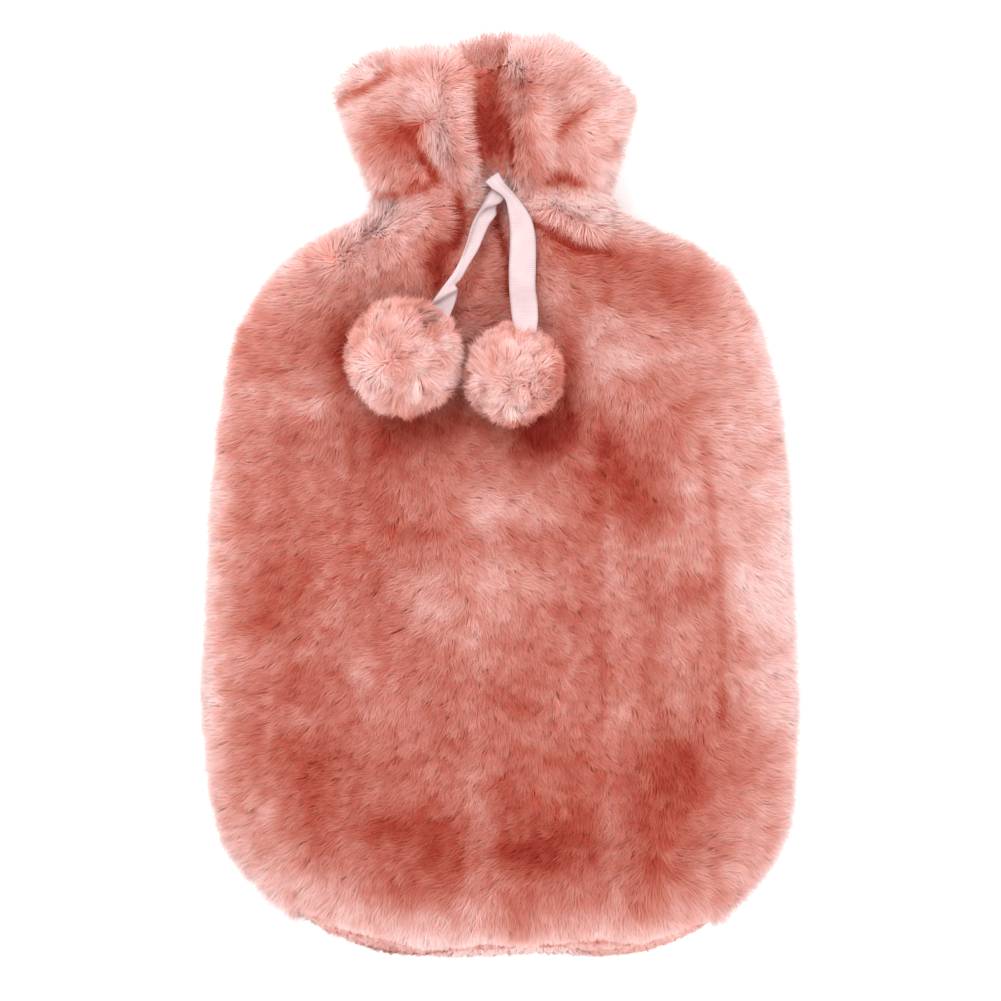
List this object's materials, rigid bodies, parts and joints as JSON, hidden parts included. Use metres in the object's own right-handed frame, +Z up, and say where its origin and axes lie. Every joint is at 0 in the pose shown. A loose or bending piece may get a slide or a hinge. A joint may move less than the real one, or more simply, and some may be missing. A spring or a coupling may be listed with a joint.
{
  "type": "hot water bottle cover",
  "caption": "Plush drawstring cover for a hot water bottle, gathered at the neck under a flared collar, with a ribbon tie that ends in pompoms.",
  "frame": {"origin": "centre of the underside of the box round the cover as it lies on its back", "axes": "+Z up from the back panel to the front panel, +Y along the cover to its mouth, +X across it"},
  "size_m": [0.24, 0.3719, 0.0938],
  "materials": {
    "plush_front": "long coral pile with paler tips",
    "plush_back": "long coral pile with paler tips",
    "satin": "pale pink ribbon with a soft sheen",
    "pompom_yarn": "fluffy pink pile"
  },
  "bodies": {
    "root": {"front_panel": "plush_front", "back_panel": "plush_back", "ribbon": "satin", "pompom_left": "pompom_yarn", "pompom_right": "pompom_yarn"}
  },
  "joints": []
}
